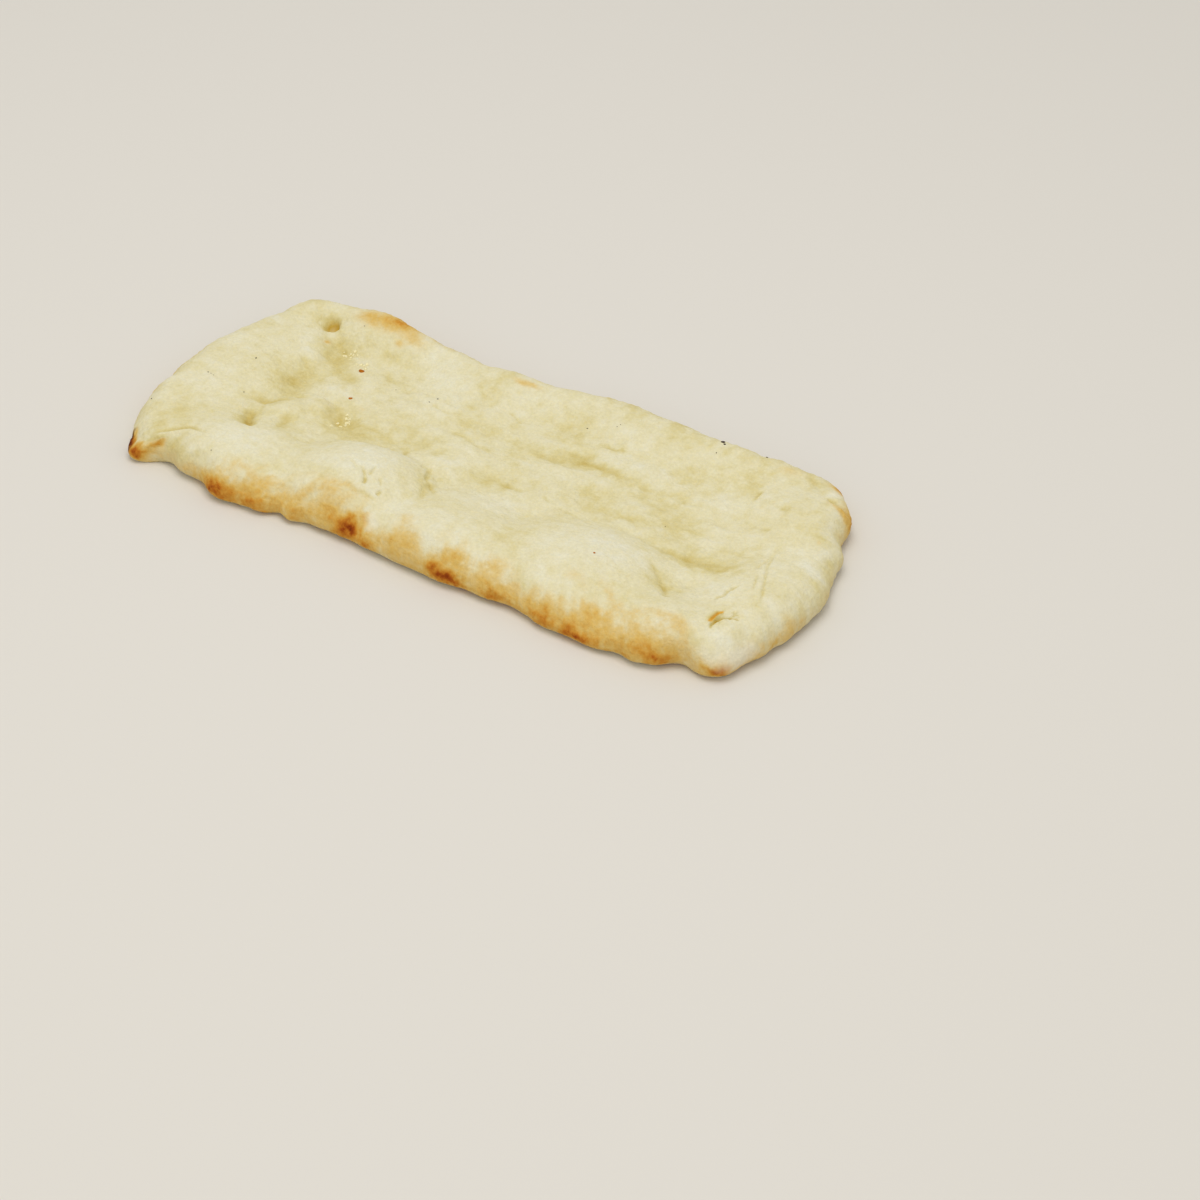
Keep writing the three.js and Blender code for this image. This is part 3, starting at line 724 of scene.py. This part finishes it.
def finish_skin(mesh, edge):
    """Raises the lumps, wrinkles and grain of the skin, and notes where it is buttery, toasted,
    charred, floured or torn for the finish, and where painted shade lies: a darker buttery yellow in
    skin that lies low or turns away from above, and browner tones at the foot of the edge."""
    points = vertex_array(mesh, "vertices", "co")
    normals = vertex_array(mesh, "vertex_normals", "vector")
    facing = normals[:, 2]
    x, y, z = points.T

    # Which part of the skin each point belongs to, as shares.
    top = smooth(0.1, 0.7, facing)
    under = smooth(-0.5, -0.9, facing)
    middle = top * (1 - smooth(0.8, 5.0, swollen(x, y)))
    slope = smooth(24, 10, edge.climb) * smooth(-5, -1, edge.climb)
    foot = smooth(14, 6, edge.climb) * smooth(-9, -3, edge.climb)

    # The skin's relief in mm.
    streaks = np.array([edge.streaked(*sizes) for sizes in STREAKS])
    wrinkled = np.array(STREAK_UP) @ streaks * slope
    lobes = LOBE_UP * edge.streaked(*LOBES) * foot
    wander = layered(points, WANDER_ALONG), layered(points, WANDER_UP)
    kneaded = kneaded_lumps(points) * middle
    coarse = layered(points, BROAD) * (1 - 0.6 * middle) + layered(points, GRAIN)
    creases = creased(x + 0.2 * wander[0], y + 0.2 * wander[1], CREASES) * top
    tears = creased(x, y, TEARS, lip=0.35) * top
    pinch = pinched(x + 0.25 * wander[0], y + 0.25 * wander[1])
    knobs = bumped(x, y, KNOBS) * top
    relief = kneaded + (coarse + wrinkled) * (1 - under) + lobes
    relief += knobs - creases - tears - PINCH_DEPTH * pinch
    moved = points + normals * relief[:, None]
    dimpled = np.maximum(0, layered(points, DIMPLES)) * under
    moved[:, 2] = np.where(z < LYING, dimpled, np.maximum(moved[:, 2], LEAST_LIFT))
    mesh.vertices.foreach_set("co", moved.ravel())

    # Where it is toasted, and where painted shade at the foot of the edge is drawn as toasting.
    ragged = np.array(STREAK_RAG) @ streaks + 0.16 * wander[0]
    patchy = 1.03 + np.array(STREAK_TOAST) @ streaks + layered(points, BLISTERS)
    toast_and_foot_shade = together(
        # The edge band is strongest at and below the outermost line, where it also paints the shade of the
        # dough's foot.
        edge.band(EDGE_TOAST_AND_FOOT_SHADE, ragged) * patchy * (1 - under),
        edge.marked(EDGE_SPOTS, wander) * (1 - under),
        together(*soft_marks(x + 0.4 * wander[0], y + 0.4 * wander[1], TOP_TOASTS)) * top,
    )

    # Where it is buttery: by the torn slit and in patches. Painted shade makes it darker and more buttery
    # in dents, hollows, creases, tears and the deep pinch, between the kneaded lumps, and where it turns
    # away from above.
    lip_away, lip_fade = line_reach(x, y, LIP_LINE)
    # Painted shade: the deeper skin lies in a dent, hollow, crease, tear or the deep pinch, the darker and
    # more buttery it is.
    depths = (-knobs, bumped(x, y, HOLLOWS), creases, tears)
    sunken_shade = sum(np.clip(depth * rate, 0, most) for depth, (rate, most) in zip(depths, SUNKEN_SHADE))
    sunken_shade += 0.5 * pinch ** 1.6
    # Painted shade: skin turned away from above is darker and more buttery.
    turned_away_shade = 0.14 * (1 - smooth(0.3, 1.0, facing))
    by_slit = 0.30 * np.exp(-(lip_away / LIP_GLOW) ** 2) * lip_fade
    # Patches of buttery and paler skin, with painted shade among them. The dips between kneaded lumps get
    # painted shade, and their crowns get painted light.
    patches = sum(soft_marks(x + wander[0], y + wander[1], BUTTERY_AND_SHADED)) - 0.06 * kneaded
    streaky = (np.array(STREAK_BUTTER) @ streaks - 0.015) * slope
    butter_and_shade = 0.05 + sunken_shade + turned_away_shade + by_slit + patches + layered(points, CLOUDS) + streaky

    set_attributes(mesh, {
        "butter_and_shade": butter_and_shade * (1 - under),
        "toast_and_foot_shade": np.clip(toast_and_foot_shade, 0, 1),
        "char": edge.marked(CHARS, wander),
        "flour": edge.marked(FLOURED, wander),
        "torn": np.exp(-(lip_away / LIP_HALF) ** 2) * np.minimum(1, 2 * lip_fade) * top,
        "under": under,
    })
    mesh.update()


# ---------------- nodes and colours
def linear(hex_colour):
    """An sRGB hex colour as linear RGBA."""
    values = [int(hex_colour[i:i + 2], 16) / 255 for i in (1, 3, 5)]
    return [v / 12.92 if v <= 0.04045 else ((v + 0.055) / 1.055) ** 2.4 for v in values] + [1.0]


def add_node(tree, kind, inputs=None, **settings):
    """A node with its settings, and its inputs set to values or linked to other nodes."""
    made = tree.nodes.new(kind)
    for name, value in settings.items():
        setattr(made, name, value)
    for socket, value in (inputs or {}).items():
        if isinstance(value, bpy.types.Node):
            value = next(output for output in value.outputs if output.enabled)
        if isinstance(value, bpy.types.NodeSocket):
            tree.links.new(value, made.inputs[socket])
        else:
            made.inputs[socket].default_value = value
    return made


def per_mm(size):
    """The scale of a pattern whose repeat is the given size in mm."""
    return 1 / (size * MM)


def set_tones(ramp, tones):
    """Fills a colour ramp with the tones at their places."""
    ramp.elements[0].position, ramp.elements[0].color = tones[0][0], linear(tones[0][1])
    ramp.elements[1].position, ramp.elements[1].color = tones[-1][0], linear(tones[-1][1])
    for position, colour in tones[1:-1]:
        ramp.elements.new(position).color = linear(colour)


def empty_material(name):
    """A material with no nodes yet, its tree, and the places that its patterns follow."""
    material = bpy.data.materials.new(name)
    material.use_nodes = True
    tree = material.node_tree
    tree.nodes.clear()
    return material, tree, add_node(tree, "ShaderNodeTexCoord").outputs["Object"]


def baked_dough():
    """Baked wheat dough: a dry matte skin that is creamy where pale, golden to brown where the oven caught
    it, and a little see-through just under the surface. Painted shade makes it a darker buttery yellow in
    its hollows and where it turns away from above, and browner at the foot of its edge."""
    material, tree, place = empty_material("baked_dough")
    noted = {name: add_node(tree, "ShaderNodeAttribute", attribute_name=name).outputs["Fac"]
             for name in ("butter_and_shade", "toast_and_foot_shade", "char", "flour", "torn", "under")}

    # Patterns in the skin, from the real size in mm of what they stand for.
    grain = {}
    for name, size, detail, roughness in (
            ("damp", 5.0, 4.0, 0.6),        # damp spots
            ("fleck", 1.6, 3.0, 0.6),       # flecks like flour grains in the dough
            ("speckle", 1.1, 2.0, 0.6),     # light and dark grains
            ("grit", 1.0, 2.0, 0.6),        # skin grain, drawn a little coarse so that it shows
            ("patch", 21, 3.0, 0.55),       # stone marks a finger wide
            ("blotch", 6.5, 3.0, 0.6)):     # and smaller ones
        grain[name] = add_node(tree, "ShaderNodeTexNoise", {
            "Vector": place, "Scale": per_mm(size), "Detail": detail, "Roughness": roughness})

    # How far they swing a value to either side of its middle.
    swing = {}
    for name, pattern, middle, reach in (
            ("damp_butter", "damp", 0.0, 0.055),
            ("fleck_butter", "fleck", 0.0, 0.025),
            ("damp_toast", "damp", 1.0, 0.12),
            ("fleck_toast", "fleck", 1.0, 0.14),
            ("lightness", "speckle", 1.0, 0.047)):
        swing[name] = add_node(tree, "ShaderNodeMapRange", {
            "Value": grain[pattern], "From Min": 0.3, "From Max": 0.7,
            "To Min": middle - reach, "To Max": middle + reach})

    # The skin's colour: paler and more buttery in soft mottles, and darker and more buttery where shade is
    # painted into it.
    mottle = add_node(tree, "ShaderNodeMath", {
        0: swing["damp_butter"], 1: swing["fleck_butter"]}, operation="ADD")
    butter_and_shade = add_node(tree, "ShaderNodeMath", {0: noted["butter_and_shade"], 1: mottle}, operation="ADD")
    butter_shade_place = add_node(tree, "ShaderNodeMapRange", {
        "Value": butter_and_shade, "From Min": -0.10, "From Max": 0.45})
    crumb = add_node(tree, "ShaderNodeValToRGB", {"Fac": butter_shade_place})
    set_tones(crumb.color_ramp, (
        (0.0, "#e5e1c8"), (0.18, "#e3dcba"), (0.33, "#dfd6ac"), (0.46, "#d9cd98"), (0.7, "#cdbb76"),
        (1.0, "#bd9a30")))

    # Toast comes up in blisters: it is a little darker and paler in flecks.
    blister = add_node(tree, "ShaderNodeMath", {
        0: swing["damp_toast"], 1: swing["fleck_toast"]}, operation="MULTIPLY")
    # The toasting here also carries the painted shade at the foot of the edge.
    top_heat_and_foot_shade = add_node(tree, "ShaderNodeMath", {0: noted["toast_and_foot_shade"], 1: blister}, operation="MULTIPLY")

    # The underside browned where it touched the hot stone.
    wide, small = [
        add_node(tree, "ShaderNodeMapRange", {
            "Value": grain[pattern], "From Min": low, "From Max": high, "To Min": least, "To Max": most,
        }, interpolation_type="SMOOTHSTEP")
        for pattern, low, high, least, most in (
            ("patch", 0.42, 0.68, 0.15, 0.44), ("blotch", 0.5, 0.76, 0.0, 0.36))]
    stone_marks = add_node(tree, "ShaderNodeMath", {0: wide, 1: small}, operation="ADD")
    base_heat = add_node(tree, "ShaderNodeMath", {
        0: stone_marks, 1: noted["under"]}, operation="MULTIPLY")
    heat_and_foot_shade = add_node(tree, "ShaderNodeMath", {0: top_heat_and_foot_shade, 1: base_heat}, operation="MAXIMUM")
    browned = add_node(tree, "ShaderNodeValToRGB", {"Fac": heat_and_foot_shade})
    set_tones(browned.color_ramp, (
        (0.0, "#e4dbb6"), (0.15, "#dfcb94"), (0.3, "#d9b665"), (0.45, "#cf983c"), (0.6, "#bd7623"),
        (0.75, "#9a480f"), (0.9, "#752f08"), (1.0, "#531b05")))

    # Laid over the skin in turn: its browned tones, with the painted shade at the edge's foot, the torn
    # slit, the char and the flour.
    burnt = add_node(tree, "ShaderNodeMath", {0: noted["char"], 1: blister}, operation="MULTIPLY")
    crust = crumb
    cover = {}
    for name, amount, low, high, most, colour in (
            ("browning_and_foot_shade", heat_and_foot_shade, 0.02, 0.22, 1.0, browned),
            ("tearing", noted["torn"], 0.1, 0.9, 0.95, linear("#dca63a")),      # moist golden crumb
            ("burning", burnt, 0.3, 1.0, 1.0, linear("#451b0b")),               # nearly black
            ("dusting", noted["flour"], 0.1, 0.8, 0.75, linear("#ebe5ce"))):    # off-white
        cover[name] = add_node(tree, "ShaderNodeMapRange", {
            "Value": amount, "From Min": low, "From Max": high, "To Max": most,
        }, interpolation_type="SMOOTHSTEP")
        crust = add_node(tree, "ShaderNodeMix", {
            "Factor": cover[name], 6: crust, 7: colour}, data_type="RGBA")
    speckled = add_node(tree, "ShaderNodeHueSaturation", {"Color": crust, "Value": swing["lightness"]})

    # Fine relief: the skin's grain and its small pores.
    pores = add_node(tree, "ShaderNodeTexVoronoi", {"Vector": place, "Scale": per_mm(1.7)})
    pitted = add_node(tree, "ShaderNodeMapRange", {
        "Value": pores, "From Max": 0.45, "To Max": 0.2}, interpolation_type="SMOOTHSTEP")
    rough_grain = add_node(tree, "ShaderNodeMath", {0: grain["grit"], 1: grain["fleck"]}, operation="ADD")
    relief = add_node(tree, "ShaderNodeMath", {0: rough_grain, 1: pitted}, operation="ADD")
    bump = add_node(tree, "ShaderNodeBump", {"Height": relief, "Strength": 0.5, "Distance": 0.6 * MM})

    # Buttery skin is smoother, and toasted or charred skin is dry.
    matte = add_node(tree, "ShaderNodeMapRange", {
        "Value": butter_and_shade, "From Max": 0.35, "To Min": 0.78, "To Max": 0.58})
    dried = add_node(tree, "ShaderNodeMath", {0: heat_and_foot_shade, 1: cover["burning"]}, operation="MAXIMUM")
    sheen = add_node(tree, "ShaderNodeMapRange", {
        "Value": dried, "From Min": 0.1, "From Max": 0.6, "To Min": 0.3, "To Max": 0.1})
    shader = add_node(tree, "ShaderNodeBsdfPrincipled", {
        "Base Color": speckled,
        "Roughness": matte,
        "IOR": 1.42,
        "Specular IOR Level": sheen,
        "Subsurface Weight": 0.12,
        "Subsurface Radius": (0.8, 0.7, 0.5),
        "Subsurface Scale": 1.1 * MM,
        "Normal": bump,
    })
    add_node(tree, "ShaderNodeOutputMaterial", {"Surface": shader})
    return material


def crumb_finish(name, colour, roughness):
    """A crumb's own finish: charred or toasted, which is dry, or torn dough, which is moist. Its colour
    changes a little over a crumb and from one to the next."""
    material, tree, place = empty_material(name)
    shade = add_node(tree, "ShaderNodeTexNoise", {"Vector": place, "Scale": per_mm(0.8), "Detail": 2.0})
    lighter = [min(1.0, 1.35 * value) for value in linear(colour)]
    share = add_node(tree, "ShaderNodeMapRange", {"Value": shade, "From Min": 0.3, "From Max": 0.7})
    mixed = add_node(tree, "ShaderNodeMix", {
        "Factor": share, 6: linear(colour), 7: lighter}, data_type="RGBA")
    bump = add_node(tree, "ShaderNodeBump", {"Height": shade, "Strength": 0.5, "Distance": 0.1 * MM})
    shader = add_node(tree, "ShaderNodeBsdfPrincipled", {
        "Base Color": mixed,
        "Roughness": roughness,
        "IOR": 1.42,
        "Specular IOR Level": 0.12,
        "Normal": bump,
    })
    add_node(tree, "ShaderNodeOutputMaterial", {"Surface": shader})
    return material


# ---------------- the dough and its crumbs
def place_piece(piece):
    """Hands a finished piece to the frame: it rides with the dough and stands for it."""
    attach(piece, BODY)
    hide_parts(NODE)


def make_object(name, data):
    made = bpy.data.objects.new(name, data)
    bpy.context.scene.collection.objects.link(made)
    return made


def make_dough():
    """The dough itself, in metres in the frame, and the shift in mm from its tables to the frame."""
    rings = skin_rings()
    mesh, used = skin_mesh(rings)
    edge = Edge(rings, used)
    edge.follow(mesh, cut_finer)
    finish_skin(mesh, edge)
    flat = rings.reshape(-1, 3)[:, :2]
    middle = (np.array(box_low)[:2] + np.array(box_high)[:2]) / 2 / MM
    shift = middle - (flat.min(axis=0) + flat.max(axis=0)) / 2
    mesh.transform(Matrix.Scale(MM, 4) @ Matrix.Translation((shift[0], shift[1], 0)))
    mesh.shade_smooth()
    mesh.materials.append(baked_dough())
    return make_object("baked_base", mesh), shift


def crumb_tree(name, material):
    """Geometry nodes that put a lumpy crumb on each point of a mesh. The crumb lies along the skin,
    which the attribute facing gives, and is as wide as the attribute width says."""
    tree = bpy.data.node_groups.new(name, "GeometryNodeTree")
    tree.is_modifier = True
    for title, way, kind, default in (
            ("Geometry", "INPUT", "NodeSocketGeometry", None),
            ("Flatness", "INPUT", "NodeSocketFloat", 0.5),
            ("Lumpiness", "INPUT", "NodeSocketFloat", 0.3),
            ("Seed", "INPUT", "NodeSocketInt", 1),
            ("Geometry", "OUTPUT", "NodeSocketGeometry", None)):
        socket = tree.interface.new_socket(title, in_out=way, socket_type=kind)
        if default is not None:
            socket.default_value = default
    given = add_node(tree, "NodeGroupInput").outputs
    ball = add_node(tree, "GeometryNodeMeshIcoSphere", {"Radius": 0.5, "Subdivisions": 2})
    squeeze = add_node(tree, "ShaderNodeCombineXYZ", {"X": 1.0, "Y": 0.8, "Z": given["Flatness"]})
    flattened = add_node(tree, "GeometryNodeTransform", {"Geometry": ball, "Scale": squeeze})
    facing = add_node(tree, "GeometryNodeInputNamedAttribute", {"Name": "facing"}, data_type="FLOAT_VECTOR")
    width = add_node(tree, "GeometryNodeInputNamedAttribute", {"Name": "width"}, data_type="FLOAT")
    lying = add_node(tree, "FunctionNodeAlignRotationToVector", {"Vector": facing}, axis="Z")
    spin = add_node(tree, "FunctionNodeRandomValue", {
        "Min": (0.0, 0.0, 0.0), "Max": (0.0, 0.0, 2 * math.pi), "Seed": given["Seed"],
    }, data_type="FLOAT_VECTOR")
    spun = add_node(tree, "FunctionNodeEulerToRotation", {"Euler": spin})
    turned = add_node(tree, "FunctionNodeRotateRotation", {
        "Rotation": lying, "Rotate By": spun}, rotation_space="LOCAL")
    placed = add_node(tree, "GeometryNodeInstanceOnPoints", {
        "Points": given["Geometry"], "Instance": flattened, "Rotation": turned, "Scale": width})
    realized = add_node(tree, "GeometryNodeRealizeInstances", {"Geometry": placed})
    where = add_node(tree, "GeometryNodeInputPosition")
    lump = add_node(tree, "ShaderNodeTexNoise", {"Vector": where, "Scale": per_mm(1.1), "Detail": 1.0})
    centred = add_node(tree, "ShaderNodeVectorMath", {
        0: lump.outputs["Color"], 1: (0.5, 0.5, 0.5)}, operation="SUBTRACT")
    reach = add_node(tree, "ShaderNodeMath", {0: given["Lumpiness"], 1: 2 * MM}, operation="MULTIPLY")
    push = add_node(tree, "ShaderNodeVectorMath", {0: centred, "Scale": reach}, operation="SCALE")
    lumpy = add_node(tree, "GeometryNodeSetPosition", {"Geometry": realized, "Offset": push})
    finished = add_node(tree, "GeometryNodeSetMaterial", {"Geometry": lumpy, "Material": material})
    add_node(tree, "NodeGroupOutput", {"Geometry": finished})
    return tree


def make_crumbs(name, marks, skin, material, settings):
    """Crumbs of one kind, laid on the dough's skin: a mesh of points, each with its width and the way
    the skin faces there, which geometry nodes turn into crumbs."""
    places, facings, widths = [], [], []
    for (x, y), width in marks:
        place, normal, _, _ = skin.ray_cast(Vector((x * MM, y * MM, DROP_HEIGHT)), Vector((0, 0, -1)))
        if place is not None:
            places.append(place)
            facings.append(normal)
            widths.append(width * MM)
    mesh = bpy.data.meshes.new(name)
    mesh.from_pydata(places, [], [])
    set_attributes(mesh, {"width": widths})
    facing = mesh.attributes.new("facing", "FLOAT_VECTOR", "POINT")
    facing.data.foreach_set("vector", np.array(facings).ravel())
    crumbs = make_object(name, mesh)
    tree = crumb_tree(name + "_maker", material)
    modifier = crumbs.modifiers.new("maker", "NODES")
    modifier.node_group = tree
    for item in tree.interface.items_tree:
        if item.name in settings:
            modifier[item.identifier] = settings[item.name]
    made = bpy.data.meshes.new_from_object(crumbs.evaluated_get(bpy.context.evaluated_depsgraph_get()))
    crumbs.modifiers.remove(modifier)
    crumbs.data = made
    crumbs.data.name = name
    crumbs.data.shade_smooth()
    place_piece(crumbs)


def scatter(patches, widths, seed):
    """Places and widths of crumbs in soft-edged patches."""
    chance = random.Random(seed)
    crumbs = []
    for at, half, count in patches:
        for _ in range(count):
            place = (chance.gauss(at[0], half[0] / 2), chance.gauss(at[1], half[1] / 2))
            crumbs.append((place, chance.uniform(*widths)))
    return crumbs


def make_base():
    """The dough with its three kinds of crumbs."""
    dough, shift = make_dough()
    points = vertex_array(dough.data, "vertices", "co").tolist()
    skin = BVHTree.FromPolygons(points, [face.vertices[:] for face in dough.data.polygons])
    place_piece(dough)
    wet_crumbs = scatter(WET_CRUMBS, WET_CRUMB_WIDTHS, WET_CRUMB_SEED)
    for name, marks, finish, form in (
            ("char_specks", CHAR_SPECKS, ("charred_crumb", "#2e1b0e", 0.9), (0.35, 0.2, 3)),
            ("toasted_crumbs", TOASTED_CRUMBS, ("toasted_crumb", "#a5621c", 0.8), (0.5, 0.4, 5)),
            ("wet_crumbs", wet_crumbs, ("moist_crumb", "#ddd4aa", 0.6), (0.7, 0.35, 9))):
        laid = [((x + shift[0], y + shift[1]), width) for (x, y), width in marks]
        settings = dict(zip(("Flatness", "Lumpiness", "Seed"), form))
        make_crumbs(name, laid, skin, crumb_finish(*finish), settings)


# ---------------- floor, light and camera
def make_floor():
    half = FLOOR_SIZE / 2
    mesh = bpy.data.meshes.new("floor")
    corners = [(-half, -half, 0), (half, -half, 0), (half, half, 0), (-half, half, 0)]
    mesh.from_pydata(corners, [], [(0, 1, 2, 3)])
    material = bpy.data.materials.new("pale_floor")
    material.use_nodes = True
    shader = material.node_tree.nodes["Principled BSDF"]
    shader.inputs["Base Color"].default_value = linear("#dedad2")
    shader.inputs["Roughness"].default_value = 0.9
    mesh.materials.append(material)
    make_object("floor", mesh)


def area_light(name, place, size, watts, colour):
    """A square light that faces the middle of the table."""
    light = bpy.data.lights.new(name, "AREA")
    light.shape = "SQUARE"
    light.size = size
    light.energy = watts
    light.color = linear(colour)[:3]
    lamp = make_object(name, light)
    lamp.location = place
    lamp.rotation_euler = (-Vector(place)).to_track_quat("-Z", "Y").to_euler()


def make_light():
    """Pale light from all round, a large softbox overhead and a weaker light in front."""
    world = bpy.data.worlds.new("studio")
    world.use_nodes = True
    background = world.node_tree.nodes["Background"]
    background.inputs["Color"].default_value = linear("#fbfaf8")
    background.inputs["Strength"].default_value = ROOM_LIGHT
    bpy.context.scene.world = world
    area_light("softbox", (-0.04, -0.08, 1.35), 0.9, 8.0, "#fffdf9")
    area_light("fill", (0.5, -1.2, 0.6), 1.0, 2.2, "#fffcf6")
    bpy.context.scene.view_settings.view_transform = "Standard"


def make_camera():
    """The camera stands to the front right, and looks down at the base from about a metre away."""
    level = math.cos(CAMERA_ELEVATION)
    back = Vector((math.sin(CAMERA_AZIMUTH) * level, -math.cos(CAMERA_AZIMUTH) * level,
                   math.sin(CAMERA_ELEVATION)))
    side = Vector((0, 0, 1)).cross(back).normalized()
    upright = back.cross(side)
    right = side * math.cos(CAMERA_ROLL) + upright * math.sin(CAMERA_ROLL)
    turned = Matrix((right, back.cross(right), back)).transposed().to_4x4()
    camera = bpy.data.cameras.new("camera")
    camera.sensor_width = 36
    camera.lens = 96
    camera.clip_end = 20
    eye = make_object("camera", camera)
    eye.matrix_world = Matrix.Translation(Vector(CAMERA_AIM) + back * CAMERA_AWAY) @ turned
    bpy.context.scene.camera = eye


make_camera()
make_light()
make_floor()
make_base()
